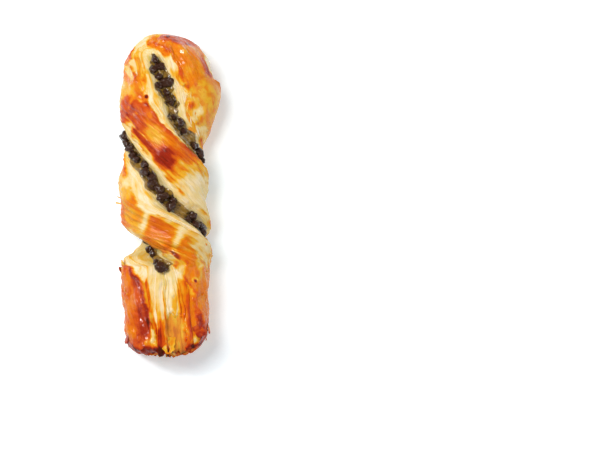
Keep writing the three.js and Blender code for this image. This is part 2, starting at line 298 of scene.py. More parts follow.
# Half-width of a cut side, from its seam to the edge of the skin, on the four sides of the
# seams in the order of SIDES below.
cut_widths = [
    track([(0, 8), (0.14, 9.5), (0.3, 8), (0.5, 7), (0.62, 4.5), (0.7, 3.2), (0.76, 8),
           (0.82, 13), (1, 15)]),
    track([(0, 8), (0.3, 8), (0.38, 9), (0.46, 11.5), (0.55, 10.5), (0.64, 7.5), (1, 7)]),
    track([(0, 8), (0.22, 8), (0.3, 7.3), (0.38, 6.4), (0.5, 6.4), (0.7, 6), (1, 6)]),
    track([(0, 12), (0.1, 12.5), (0.16, 12), (0.24, 10), (0.28, 8.2), (0.33, 6.2), (0.4, 4.6),
           (0.6, 5), (0.68, 12), (0.75, 14), (0.79, 10.5), (0.86, 8.5), (1, 6)]),
]


def seam(index, station):
    """Angle of a seam at a station, in radians."""
    return np.radians(SEAM_TRACKS[index](station))


def section_radius(station, angle):
    """Distance from the axis to the plain section at an angle.

    The section is a superellipse. One axis points at the seams and the other at the skins,
    and both shrink over the folded end and at the rim of the open end.
    """
    facing = (seam(0, station) + seam(1, station) + np.pi) / 2
    fold = np.clip(station * LENGTH / FOLD_LENGTH, 0, 1)
    rim = np.clip(1 - (1 - station) * LENGTH / END_ROUND, 0, 1)
    loss = END_ROUND * (1 - np.sqrt(1 - rim * rim))
    cut = CUT_HALF * cut_share(station) * (1 - (1 - fold) ** FOLD_POWER) ** (1 / FOLD_POWER) - loss
    stack = STACK_HALF * stack_share(station) * np.sqrt(1 - (1 - fold) ** 2) - loss
    power = squareness(station)
    across = np.abs(np.cos(angle - facing)) / np.maximum(cut, 1e-3)
    along = np.abs(np.sin(angle - facing)) / np.maximum(stack, 1e-3)
    return (across ** power + along ** power) ** (-1 / power)


def seam_reach(station, index):
    """Millimetres square to a seam for each radian round the axis."""
    step = 0.002
    turn = (seam(index, station + step) - seam(index, station - step)) / (2 * step * LENGTH)
    radius = section_radius(station, seam(index, station))
    return radius / np.hypot(1, radius * turn)


def seam_depth(station):
    """Share of its full depth that a seam has at a station."""
    starts = smooth((station - SEAM_STARTS) / SEAM_FADE)
    return starts * smooth((SEAM_ENDS - station) / SEAM_FADE)


def beside(station, angle, index):
    """Signed distance from a seam, square to it, in millimetres."""
    turned = angle - seam(index, station)
    return np.arctan2(np.sin(turned), np.cos(turned)) * seam_reach(station, index)


def groove_cut(station, angle):
    """How far the dough lies below its section: a cosine valley at each seam and a pinch."""
    away = [np.abs(beside(station, angle, index)) for index in (0, 1)]
    grooves = hump(away[0], GROOVE_HALF) + hump(away[1], GROOVE_HALF)
    along = np.abs(station - PINCH_STATION) * LENGTH
    pinch = hump(along, PINCH_HALF) * hump(away[0], 2 * GROOVE_HALF)
    return GROOVE_DEPTH * seam_depth(station) * grooves + PINCH_DEPTH * pinch


def place(station, angle, radius):
    """The point at a station, an angle and a distance from the axis, over its last axis."""
    x = drift(station) + radius * np.sin(angle)
    slant = end_slant(x) * smooth(1 - (1 - station) * LENGTH / SLANT_LENGTH)
    y = LENGTH / 2 - station * LENGTH + slant
    z = BED_DEPTH + SAG * radius * np.cos(angle)
    return np.stack([x, y, z], axis=-1)


def plan_shift():
    """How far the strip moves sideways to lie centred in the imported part's box."""
    station, angle = np.meshgrid(np.linspace(0.002, 0.998, 400), np.linspace(0, 2 * np.pi, 240))
    points = place(station, angle, section_radius(station, angle) - groove_cut(station, angle))
    x = points[..., 0]
    middle = (DOUGH_LOW[0] + DOUGH_HIGH[0]) / 2 - (x.min() + x.max()) / 2
    return np.array([middle, 0.0, 0.0])


SHIFT = plan_shift()


# ---------------------------------------------------------------- meshes


def add_piece(name, points, faces, material, uv=None, values=None):
    """A mesh object from points in millimetres, with a UV map and values on its points."""
    mesh = bpy.data.meshes.new(name)
    mesh.from_pydata((points * MM).tolist(), [], faces)
    mesh.polygons.foreach_set("use_smooth", np.ones(len(mesh.polygons), bool))
    for key, array in (values or {}).items():
        layer = mesh.attributes.new(key, "FLOAT", "POINT")
        layer.data.foreach_set("value", np.ascontiguousarray(array, np.float32).ravel())
    if uv is not None:
        mesh.uv_layers.new(name="strip").data.foreach_set("uv", uv.astype(np.float32).ravel())
    mesh.materials.append(material)
    mesh.update()
    piece = bpy.data.objects.new(name, mesh)
    bpy.context.scene.collection.objects.link(piece)
    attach(piece, "root")
    return piece


def turn_outwards(mesh):
    """Flips the faces of a closed mesh that enclose a negative volume, as they face inwards."""
    mesh.calc_loop_triangles()
    points = np.empty(len(mesh.vertices) * 3)
    mesh.vertices.foreach_get("co", points)
    corners = np.empty(len(mesh.loop_triangles) * 3, int)
    mesh.loop_triangles.foreach_get("vertices", corners)
    a, b, c = points.reshape(-1, 3)[corners].reshape(-1, 3, 3).transpose(1, 0, 2)
    if np.sum(a * np.cross(b, c)) < 0:
        mesh.flip_normals()


def tipped(rings):
    """Points of closed rings, with a tip in the middle of the first and of the last one."""
    first, last = rings[0].mean(axis=0), rings[-1].mean(axis=0)
    return np.vstack([first[None], rings.reshape(-1, 3), last[None]])


def ringed_faces(rows, columns):
    """Quads between rings of a closed tube, ring after ring, with a tip before and after.

    Point 0 is the first tip and the last point the last one. A ring's columns run so that
    faces turn outwards when angles grow from one column to the next.
    """
    row, column = np.meshgrid(np.arange(rows - 1), np.arange(columns), indexing="ij")
    after = (column + 1) % columns
    start = 1 + row * columns
    quads = np.stack(
        [start + column, start + columns + column, start + columns + after, start + after], -1
    ).reshape(-1, 4)
    around = np.arange(columns)
    beyond = (around + 1) % columns
    last = 1 + rows * columns
    final = 1 + (rows - 1) * columns
    first_fan = np.stack([0 * around, 1 + around, 1 + beyond], -1)
    last_fan = np.stack([0 * around + last, final + beyond, final + around], -1)
    return quads.tolist() + first_fan.tolist() + last_fan.tolist()


def ringed_uv(rows, columns, across, along):
    """UV of every corner of ringed_faces: across runs round the tube and closes at 1."""
    u = np.append(across, 1.0)
    row, column = np.meshgrid(np.arange(rows - 1), np.arange(columns), indexing="ij")
    quad_u = np.stack([u[column], u[column], u[column + 1], u[column + 1]], -1)
    quad_v = np.stack([along[row], along[row + 1], along[row + 1], along[row]], -1)
    left, right = u[:-1], u[1:]
    middle = (left + right) / 2
    first = np.stack([middle, left, right], -1)
    last = np.stack([middle, right, left], -1)
    first_v = np.stack([0 * left, 0 * left + along[0], 0 * left + along[0]], -1)
    last_v = np.stack([0 * left + 1, 0 * left + along[-1], 0 * left + along[-1]], -1)
    all_u = np.concatenate([quad_u.ravel(), first.ravel(), last.ravel()])
    all_v = np.concatenate([quad_v.ravel(), first_v.ravel(), last_v.ravel()])
    return np.stack([all_u, all_v], -1)


# ---------------------------------------------------------------- dough

FOLD_ROWS = 46
BODY_ROWS = 218
RIM_ROWS = 10
FACE_ROWS = 22
CUT_COLUMNS = 54
SKIN_COLUMNS = 28
CUT_ZONE = 12  # width beside a seam that takes the close-set columns
BODY_UV = 0.97  # share of the UV map's length for the body, the rest being the open end's face

# The four sides of the seams, in turn round the strip: which seam, and towards which side.
SIDES = [(0, 1), (1, -1), (1, 1), (0, -1)]

# Where the oven browned the upper side more or less: place along and across the plait, half the
# length and width of the patch, its turn in degrees, how soft its edge is, and how far it is
# baked. A later patch lies over an earlier one.
SKIN_PATCHES = [
    (70.5, 10, 17, 13, -55, 0.25, 0.5),
    (80.5, 7, 10, 3.6, -6, 0.5, 0.7),
    (74.5, -1, 7, 3, -30, 0.6, 0.52),
    (69, 15.5, 8, 5.5, -58, 0.5, 0.46),
    (66, 21, 6, 1.6, -70, 0.5, 0.72),
    (66, 25.5, 13, 2.8, -62, 0.4, 0.06),
    (62.5, 7, 6, 3, -50, 0.5, 0.46),
    (69, -21.5, 8, 2, 66, 0.5, 0.6),
    (59, -18, 13, 3.4, -60, 0.5, 0.5),
    (63, -19.5, 5, 1.4, -62, 0.6, 0.2),
    (51.5, -12, 9, 3.4, -58, 0.6, 0.44),
    (49, -19.5, 8, 3, -75, 0.6, 0.36),
    (44, -21.5, 7, 3, 80, 0.5, 0.68),
    (42, -17.5, 5, 2.4, 60, 0.6, 0.78),
    (43, 23, 17, 3.6, -82, 0.5, 0.44),
    (41, -11, 6, 3.4, -55, 0.4, 0.66),
    (28.5, -3, 14, 8, -50, 0.3, 0.56),
    (34.5, -13, 8, 3.4, -50, 0.5, 0.68),
    (26.5, -3, 8, 4, -48, 0.8, 0.36),
    (23.5, -9, 12, 1.6, -52, 0.6, 0.76),
    (16, 1.5, 7, 5, -48, 1.1, 0.84),
    (19.5, 11, 7, 4, -48, 0.7, 0.6),
    (9.5, 9.5, 5, 3.4, -52, 0.6, 0.46),
    (-1, 18.5, 12, 6, -55, 0.6, 0.14),
    (-11.5, -16.5, 7, 5, -65, 0.5, 0.42),
    (-11, -23, 9, 1.5, -80, 0.5, 0.56),
    (-23, -2.5, 9.5, 8.5, -35, 0.25, 0.57),
    (-26.5, -3.5, 6, 3.4, -35, 0.8, 0.48),
    (-16, -9.5, 8, 1.4, 74, 1.2, 0.12),
    (-32.5, 12, 11, 4.4, -58, 0.3, 0.5),
    (-25, 8, 6, 1.7, 66, 1, 0.1),
    (-41.5, 15.5, 6, 2.4, -56, 0.5, 0.64),
    (-33, 20, 11, 3.2, 84, 0.5, 0.16),
    (-34, 6, 3, 0.9, -40, 0.6, 0.86),
    (-61, -17.5, 26, 9, -86, 0.3, 0.56),
    (-48.5, -14.5, 9, 2.2, -76, 0.8, 0.7),
    (-59.5, -11, 7, 2.6, -84, 0.8, 0.68),
    (-70.5, -10, 10, 3.2, -80, 0.9, 0.78),
    (-63, 17.5, 26, 9, 88, 0.5, 0.5),
    (-75, 19.5, 10, 5, 80, 0.6, 0.7),
    (-83.5, -11, 12, 3, -10, 0.7, 0.74),
    (-82, 17.5, 8, 3.4, 10, 0.7, 0.72),
    (81.5, 1, 1, 0.9, 0, 0.4, 0.95),
    (77.5, 11.5, 1.1, 0.8, 0, 0.4, 0.95),
    (48.5, -9.5, 0.9, 0.9, 0, 0.4, 0.95),
    (-47, 16.5, 1.5, 1.2, 0, 0.8, 0.26),
    (-47.5, 16.5, 0.9, 0.9, 0, 0.4, 1),
]
CUT_PATCHES = [
    (77, -2, 9, 4.6, -28, 0.4, 0.52),
    (61, -15.5, 12, 4.6, -82, 0.5, 0.42),
    (66, -17, 4, 2, -70, 0.6, 0.2),
    (43, 23, 18, 3.6, -82, 0.5, 0.42),
    (-55, -2, 12, 2.3, -86, 0.8, 0.03),
    (-76, 1, 7, 2.6, -82, 0.6, 0.6),
    (-75, -4.5, 8, 2, -84, 0.7, 0.64),
    (-84.5, 3, 9, 2.2, 0, 0.6, 0.82),
    (57.5, 9, 1.2, 1.1, 0, 0.4, 1),
    (48.5, -9.5, 0.9, 0.9, 0, 0.4, 0.95),
    (46.5, 15, 11, 2.3, -66, 0.5, 0.34),
    (58.5, 7.5, 5, 2, -50, 0.6, 0.36),
    (-52.5, -8, 7, 0.9, -80, 0.7, 0.5),
    (-54.5, 10, 8, 3, 86, 0.6, 0.44),
    (-67.5, -6.5, 12, 2, -80, 0.7, 0.5),
    (-67.5, 13, 16, 5, 86, 0.6, 0.54),
    (-73.5, 7, 8, 5, 84, 0.4, 0.36),
    (-83, -6, 9, 2.4, -12, 0.7, 0.76),
    (-82.5, 16, 8, 3, 12, 0.7, 0.72),
]

# Where the glaze is wettest and most wrinkled: place along and across, half the length and
# width, and turn in degrees.
GLOSS_PATCHES = [
    (75.5, -1, 8, 5, -40),
    (58, -16, 13, 3.6, -65),
    (40, -13.5, 6, 3, -60),
    (22, -2.5, 5, 3, -20),
    (-24, -11, 8, 3, -40),
    (-56.5, -12.7, 12, 2.6, -80),
    (62, -17, 10, 4, -80),
    (72, 12, 8, 5, -50),
    (-30, 3, 7, 4, -40),
    (-68, 14, 10, 4, 86),
]


def column_plan():
    """For each column: its side, and its place from its seam, 0, to the skin's middle, 1.

    Returns for all columns the side's index, the place, and the material coordinate round the
    strip, which is 0 at the first seam, 2 at the second and 4 back at the first.
    """
    close = np.arange(CUT_COLUMNS) / CUT_COLUMNS * 0.5
    open_ = 0.5 + np.arange(SKIN_COLUMNS) / SKIN_COLUMNS * 0.5
    going = np.r_[close, open_]
    coming = np.r_[1, going[:0:-1]]
    places = np.r_[going, coming, going, coming]
    sides = np.repeat(np.arange(4), len(going))
    materials = np.r_[going, 2 - coming, 2 + going, 4 - coming]
    return sides, places, materials


def dough_angles(station, sides, places):
    """Angle of every column at every station.

    Half of a side's columns lie evenly over the cut zone beside the seam, and the others over
    the rest of the way to the middle of the skin.
    """
    first, second = seam(0, station), seam(1, station) + 2 * np.pi
    halves = [(second - first) / 2, (second - first) / 2]
    halves += [np.pi - halves[0]] * 2
    angle = np.zeros((len(station), len(places)))
    for side, (index, way) in enumerate(SIDES):
        zone = np.minimum(CUT_ZONE / seam_reach(station, index), 0.5 * halves[side])[:, None]
        rest = halves[side][:, None] - zone
        held = places[sides == side][None, :]
        offset = np.where(held < 0.5, 2 * held * zone, zone + (2 * held - 1) * rest)
        base = seam(index, station)[:, None] + (0 if side == 0 else 2 * np.pi)
        angle[:, sides == side] = base + way * offset
    return angle


def in_patch(points, x, y, length, width, turn):
    """Places along and across a turned patch in plan, in half-lengths and half-widths of it."""
    along_x, along_y = math.cos(math.radians(turn)), math.sin(math.radians(turn))
    dx, dy = points[..., 0] - x, points[..., 1] - y
    return (dx * along_x + dy * along_y) / length, (dy * along_x - dx * along_y) / width


def rounded(along, across, power):
    """Distance that is one on a rounded rectangle, squarer as the power grows."""
    return (np.abs(along) ** power + np.abs(across) ** power) ** (1 / power)


def browned(bake, points, grain, patches, seed):
    """Bake after patches: each pulls it to the patch's value inside a ragged rounded outline.

    The outline is where a distance, counted in half-lengths and half-widths of the patch and
    shifted by a random field that is drawn out along the strip, reaches one. Patches lie on
    the upper side, from 6 to 14 mm over the floor upwards.
    """
    upper = smooth((points[..., 2] - 6) / 8)
    ragged = 0.15 * grain + 0.1 * ripples(points[..., :2], 7, seed, 2)
    for y, x, length, width, turn, soft, value in patches:
        reach = rounded(*in_patch(points, x, y, length, width, turn), 2.6) + ragged
        bake = bake + smooth((1 - reach) / soft + 0.5) * upper * (value - bake)
    return bake


def glossy(points):
    """Share of wet glaze: bells over ellipses in plan, on the upper side."""
    share = np.zeros(points.shape[:-1])
    for y, x, length, width, turn in GLOSS_PATCHES:
        along, across = in_patch(points, x, y, length, width, turn)
        share = share + np.exp(-((along ** 2 + across ** 2) ** 2))
    return np.clip(share, 0, 1) * smooth((points[..., 2] - 8) / 8)


def drawn_out(station, material, plain, size, seed, octaves):
    """A random field drawn out along the strip, which turns even on the fold's round end."""
    along = np.stack(np.broadcast_arrays(station * LENGTH / 9, material * 10), -1)
    even = smooth((0.07 - station) / 0.05)
    strip = ripples(along, size, seed, octaves)
    return strip * (1 - even) + ripples(plain, 3.2 * size, seed, octaves) * even


# The torn place on the open end: its middle across and along the plait, half its width and
# length, how squarely it is rounded, and how deep it lies.
POCKET_X, POCKET_Y = 7.4, -75
POCKET_HALF_WIDTH, POCKET_HALF_LENGTH = 4.8, 11
POCKET_POWER = 3.2
POCKET_DEPTH = 1.7


def dough_fields(station, angle, sides, seed):
    """What the dough is like at every point of the grid.

    Holds the distance from the seam, the same distance for the leaves, which goes round the
    seam's start so that they turn round it, the distance into the skin from its edge, the
    side's index, the skin's share, the point on the plain section, and the share of the
    thicker skin that the last side has towards the open end.
    """
    away = np.zeros_like(angle)
    width = np.zeros_like(angle)
    side_at = np.zeros_like(angle)
    for side, (index, _) in enumerate(SIDES):
        columns = sides == side
        away[:, columns] = np.abs(beside(station, angle[:, columns], index))
        width[:, columns] = cut_widths[side](station)
        side_at[:, columns] = side
    ahead = np.clip(SEAM_STARTS + 0.012 - station, 0, None) * LENGTH
    leaf = np.hypot(away, 1.3 * ahead)
    plain = place(station, angle, section_radius(station, angle))
    jag = 0.55 * ripples(plain, 7, seed + 1, 3) + 0.22 * ripples(plain, 1.6, seed + 2, 1)
    into = leaf - width + jag
    thick = smooth((station - 0.7) / 0.06) * (side_at == 3)
    return {"away": away, "leaf": leaf, "into": into, "side": side_at,
            "skin": smooth(into / 0.55 + 0.5), "plain": plain, "thick": thick}


def pocket(points):
    """Share of the torn place on the open end: inside a tilted rounded outline in plan.

    Also gives the distance across it and the share of the dough's upper side.
    """
    dx, dy = points[..., 0] - POCKET_X, points[..., 1] - POCKET_Y
    across, along = dx + 0.12 * dy, dy
    ragged = 0.14 * ripples(points[..., :2], 4, 5, 2)
    reach = rounded(across / POCKET_HALF_WIDTH, along / POCKET_HALF_LENGTH, POCKET_POWER)
    reach = reach + ragged
    upper = smooth((points[..., 2] - 12) / 6)
    return smooth((1 - reach) / 0.16 + 0.5) * upper, across, upper


LEAF_CREST = 0.82  # where a leaf's raised edge stands, as a share of the way to the next one
SINK = 0.9  # how far the section lies in, to leave room for the relief


def dough_relief(station, fields, material, sizes, seed):
    """Height of the baked detail over the plain section.

    Adds the skin's step and its raised edge, the shingled edges of the leaves on the cut
    sides, whose crests are saw teeth over the distance from the seam, wrinkles and blisters of
    the skin, slow lumps and the torn pocket of the open end. Also gives the leaves' crests and
    each leaf's own random number.
    """
    plain, skin, into = fields["plain"], fields["skin"], fields["into"]
    fanned = smooth((station - 0.72) / 0.1)
    pitch = sizes.leaf_pitch / MM * (1 + 0.7 * fanned)
    calm = 1 - 0.4 * fanned
    warp = 0.8 * drawn_out(station, material, plain, 3, seed + 3, 2)
    warp = calm * (warp + 0.25 * drawn_out(station, material, plain, 1.2, seed + 4, 2))
    phase = (fields["leaf"] + warp) / pitch
    phase = phase + 0.3 * np.sin(1.9 * phase) + 0.09 * np.sin(4.7 * phase + 1)
    number = np.floor(phase)
    tooth = phase - number
    shingle = np.where(tooth < LEAF_CREST, tooth / LEAF_CREST, (1 - tooth) / (1 - LEAF_CREST))
    own = np.sin(number * 12.9 + 78 * fields["side"]) * 437.5
    own = own - np.floor(own)
    rise = sizes.leaf_rise / MM * (1 + 1.3 * fanned)
    clear = smooth((fields["away"] - BEAD_HALF + 0.4) / 1.5) + (1 - seam_depth(station))
    leaves = rise * (0.4 + 0.9 * own) * shingle * np.clip(clear, 0, 1) * (1 - skin)
    thick = fields["thick"]
    step = sizes.skin_rise / MM * skin * (1 + 0.9 * thick)
    lip = 0.5 * sizes.skin_rise / MM * bell(into - 0.9, 0.9) * skin * (1 + 1.4 * thick)
    under = -0.3 * bell(into + 0.45, 0.35) * (1 - skin)
    wet = glossy(plain + SHIFT)
    wrinkle = sizes.wrinkle_rise / MM * (1 + 1.4 * wet)
    wrinkle = wrinkle * drawn_out(station, material, plain, 1.6, seed + 5, 4)
    blister = 0.5 * np.clip(ripples(plain, 6, seed + 6, 1) - 0.55, 0, None)
    fine = 0.1 * ripples(plain, 2.6, seed + 7, 2)
    lumps = sizes.lump_rise / MM * ripples(plain, 22, seed + 8, 2)
    flat_seam = 1 - 0.8 * bell(fields["away"], 4) * seam_depth(station)
    torn, across, upper = pocket(plain + SHIFT)
    beside_tear = bell(plain[..., 1] - POCKET_Y + 1, 9) * upper
    rim = bell(across + 5.2, 1.1) * beside_tear + 0.5 * bell(across - 5.4, 0.9) * beside_tear
    relief = (leaves + step + lip + under + (lumps - SINK) * flat_seam
              + (wrinkle + blister + fine) * (0.25 + 0.75 * skin) * flat_seam)
    relief = relief * (1 - 0.8 * torn) - POCKET_DEPTH * torn + 0.9 * rim
    return relief, shingle, own


SKIN_BAKE, CUT_BAKE = 0.3, 0.07  # how far the two kinds of side are baked, before patches


def dough_bake(station, fields, material, crests, points, seed):
    """How far each point is baked, 0 pale to 1 scorched.

    A skin starts at gold and a cut side at pale, both with slow random change. Patches pull
    them to their own values. The skin's edge, leaf edges and the open end's rim add to it, and a
    painted shade browns the dough towards the plait's sides.
    """
    plain, skin, into = fields["plain"], fields["skin"], fields["into"]
    shingle, own = crests
    streak = drawn_out(station, material, plain, 1.8, seed + 11, 3)
    grain = drawn_out(station, material, plain, 2.5, seed + 15, 3)
    mottle = ripples(plain, 10, seed + 12, 3)
    low = smooth((10 - points[..., 2]) / 10)
    # Painted shade: the dough is browned from 16 to 25 mm either side of the middle line, where the
    # sides turn down away from the light.
    side_shade = smooth((np.abs(points[..., 0]) - 16) / 9)
    skin_bake = SKIN_BAKE + 0.07 * mottle + 0.03 * streak + 0.2 * low + 0.06 * side_shade
    skin_bake = browned(skin_bake, points, grain, SKIN_PATCHES, seed)
    skin_bake = skin_bake + 0.03 * mottle + 0.03 * streak
    edge = bell(into - 0.8, 1.2) * skin * smooth((skin_bake - 0.25) / 0.25)
    skin_bake = skin_bake + 0.14 * edge
    fanned = smooth((station - 0.74) / 0.18)
    leaf_edge = smooth((shingle - 0.55) / 0.45)
    cut_bake = CUT_BAKE + 0.04 * mottle + 0.06 * own + 0.08 * low + 0.1 * side_shade
    cut_bake = cut_bake + fanned * (0.01 + 0.3 * own ** 2 + 0.06 * streak)
    cut_bake = browned(cut_bake, points, grain, CUT_PATCHES, seed + 1)
    cut_bake = cut_bake + 0.05 * streak + (0.06 + 0.13 * own + 0.14 * fanned) * leaf_edge
    bake = cut_bake * (1 - skin) + skin_bake * skin
    torn, _, _ = pocket(points)
    bake = bake + 0.8 * torn * (0.5 + 0.08 * mottle + 0.1 * streak - bake)
    rim = smooth((station - 0.96) / 0.04) * (0.6 + 0.5 * ripples(plain, 7, seed + 13, 2))
    return np.clip(bake + 0.2 * np.clip(rim, 0, 1), 0, 1)


# Where custard soaked the dough past the seams' ends: place across and along the plait.
SOAKED_PLACES = [(-9, 69), (2, -47)]


def dough_soak(station, fields, points, seed):
    """Share of custard that the dough took up: beside the beads, past the ends, in the tear."""
    near = bell(np.clip(fields["away"] - BEAD_HALF + 0.6, 0, None), 2.2) * seam_depth(station)
    past = sum(bell(np.hypot(points[..., 0] - x, points[..., 1] - y), 5) for x, y in SOAKED_PLACES)
    top = smooth((points[..., 2] - 20) / 8)
    torn, _, _ = pocket(points)
    mottle = 0.75 + 0.4 * ripples(fields["plain"], 5, seed + 21, 2)
    return np.clip((0.7 * near + 0.55 * past * top) * mottle + 0.32 * torn, 0, 1)


FACE_CREST = 0.7  # the same as LEAF_CREST, on the open end's face
PARTING_DEPTH, PARTING_HALF = 3.4, 4.5  # depth and half-width of the parting in that face


def end_face(angle, seed, sizes):
    """Rings of the open end's face, from the rim to the middle.

    Also gives the leaves' crests, the distance from the parting and how far inside the rim
    each point lies. Leaves lie side by side from the parting between the two layers, which
    runs through both seams. Their ends stand out by saw teeth over the distance from it.
    """
    share = np.linspace(0, 1, FACE_ROWS + 2)[1:-1, None] ** 0.9
    radius = (section_radius(1.0, angle) - groove_cut(1.0, angle)) * (1 - share)
    flat = place(1.0, angle + 0 * radius, radius)
    facing = seam(0, 1.0)
    side = radius * np.sin(angle - facing)
    warp = 0.8 * ripples(flat, 11, seed + 31, 2)
    phase = (np.abs(side) + warp) / (1.7 * sizes.leaf_pitch / MM)
    tooth = phase - np.floor(phase)
    crest = np.where(tooth < FACE_CREST, tooth / FACE_CREST, (1 - tooth) / (1 - FACE_CREST))
    stand = 1.3 * (0.5 + 0.5 * np.sin(np.floor(phase) * 2.1)) + 0.7 * crest
    parting = PARTING_DEPTH * hump(np.abs(side), PARTING_HALF)
    rough = 0.35 * ripples(flat, 3, seed + 32, 2)
    flat[..., 1] += (parting - stand + rough + 0.6) * smooth(share / 0.12)
    return flat, crest, np.abs(side), smooth(share / 0.3) + 0 * radius


def row_stations():
    """Stations of the grid's rows: even on the body, and at even angles over both round ends."""
    fold, rim = FOLD_LENGTH / LENGTH, 1 - END_ROUND / LENGTH
    dome = fold * (1 - np.cos(np.linspace(0, np.pi / 2, FOLD_ROWS + 1)[1:]))
    body = np.linspace(fold, rim, BODY_ROWS + 1)[1:]
    end = 1 - (1 - rim) * (1 - np.sin(np.linspace(0, np.pi / 2, RIM_ROWS + 1)[1:]))
    return np.r_[dome, body, end]


def pastry_twist(settings):
    """The whole outside of the baked strip on one closed grid of stations and columns.

    Its radius is the plain section's, less the groove, plus the relief. A ragged field moves
    the open end's rim along the strip, and the underside is held at the floor, a little
    unevenly.
    """
    sizes, seed = settings.sizes, settings.sizes.seed
    station = row_stations()
    sides, places, material = column_plan()
    angle = dough_angles(station, sides, places)
    across = station[:, None]
    fields = dough_fields(across, angle, sides, seed)
    relief, shingle, own = dough_relief(across, fields, material[None, :], sizes, seed)
    tip = smooth(across / 0.02)
    radius = section_radius(across, angle) - groove_cut(across, angle) + relief * tip
    points = place(across, angle, radius)
    ragged = 0.8 * ripples(np.stack([angle * 9, angle * 0], -1), 3.2, seed + 9, 3)
    ragged = ragged - (2.2 * own - 1) * (1 - fields["skin"])
    points[..., 1] += smooth((across - 0.955) / 0.04) * ragged
    bake = dough_bake(across, fields, material[None, :], (shingle, own), points + SHIFT, seed)
    soak = dough_soak(across, fields, points, seed)
    glaze = fields["skin"] * (1 - 0.6 * smooth((6 - points[..., 2]) / 6))
    wet = glossy(points + SHIFT) * (0.4 + 0.6 * fields["skin"])

    face, crest, side, inward = end_face(angle[-1:], seed, sizes)
    stands = points[-1:, :, 1] - place(1.0, angle[-1:], radius[-1:])[..., 1]
    face[..., 1] += stands * (1 - inward) + stands.mean() * inward
    face_bake = 0.44 + 0.2 * crest - 0.26 * bell(side, 3) + 0.09 * ripples(face, 9, seed + 33, 3)
    face_bake = np.clip(face_bake + 0.2 * (1 - inward), 0, 1)
    ring_points = np.concatenate([points, face])
    middle = face[-1].mean(axis=0)
    first = place(0.0, 0.0, 0.0)
    flat = ring_points.reshape(-1, 3)
    flat = np.vstack([first[None], flat, middle[None]]) + SHIFT
    bed = 0.22 * np.abs(ripples(flat * [1, 0.6, 0], 5, seed + 41, 3))
    flat[:, 2] = np.maximum(flat[:, 2], bed)

    def with_tips(grid, face_part):
        whole = np.concatenate([grid, face_part])
        return np.r_[whole[0].mean(), whole.ravel(), whole[-1].mean()]

    values = {
        "bake": with_tips(bake, face_bake),
        "skin": with_tips(glaze, 0 * face_bake),
        "soak": with_tips(soak, 0.2 * bell(side, 3) + 0 * face_bake),
        "leaf": with_tips(shingle * (1 - fields["skin"]), crest),
        "gloss": with_tips(wet, 0 * face_bake),
        "drawn": with_tips(smooth((across - 0.03) / 0.07) + 0 * bake, 0 * face_bake),
    }
    rows, columns = len(ring_points), len(material)
    along = np.r_[station * BODY_UV, np.linspace(BODY_UV, 0.998, FACE_ROWS)]
    piece = add_piece(
        "plait_pastry", flat, ringed_faces(rows, columns), pastry_material(settings),
        ringed_uv(rows, columns, material / 4, along), values,
    )
    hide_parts("pastry_twist")
    return piece


# ---------------------------------------------------------------- flakes

# Larger loose leaves: station, angle in degrees, turn from the strip's length in degrees,
# length, half-width, lift of the tip, lift of one side over the other, bake, and share of glaze.
LEAVES = [
    (0.325, 62, 171, 30.5, 14, 1.5, -1.7, 0.41, 0.7),
    (0.535, -84, 250, 4.2, 0.45, 2.8, 0, 0.3, 0.3),
    (0.52, -80, 235, 3, 0.35, 1.6, 0, 0.34, 0.3),
    (0.748, -66, 205, 7, 3, 0.8, -0.4, 0.34, 0.4),
    (0.775, -78, 186, 7.5, 3.2, 1.3, -0.7, 0.66, 0.8),
    (0.79, -60, 184, 6, 1.2, 0.8, 0.2, 0.2, 0.2),
    (0.6, 30, 150, 12, 2.4, 0.5, 0.2, 0.14, 0.2),
    (0.93, -72, 12, 9.5, 4, 1.2, -0.6, 0.74, 0.8),
    (0.94, -38, 8, 9.5, 4.5, 0.6, 0.3, 0.7, 0.7),
    (0.95, 8, -6, 8.6, 3.4, 0.4, 0.3, 0.38, 0.3),
    (0.93, 52, 4, 9, 4, 1.1, 0.4, 0.72, 0.5),
    (0.9, 80, -8, 13, 2.6, 1.4, 0.3, 0.62, 0.5),
    (0.93, 112, 6, 11, 3, 0.6, 0.3, 0.5, 0.4),
    (0.925, -112, -6, 12, 3, 0.6, -0.3, 0.5, 0.4),
]


LEAF_GRID, SLIVER_GRID = (22, 13), (8, 3)  # rows and columns of a loose leaf
LEAF_LEAST = 1.1  # half-width past which a loose leaf has the finer grid
LEAF_BASE, SLIVER_BASE, CRUMB_BASE = -0.2, -0.75, -0.35  # height over the dough's section


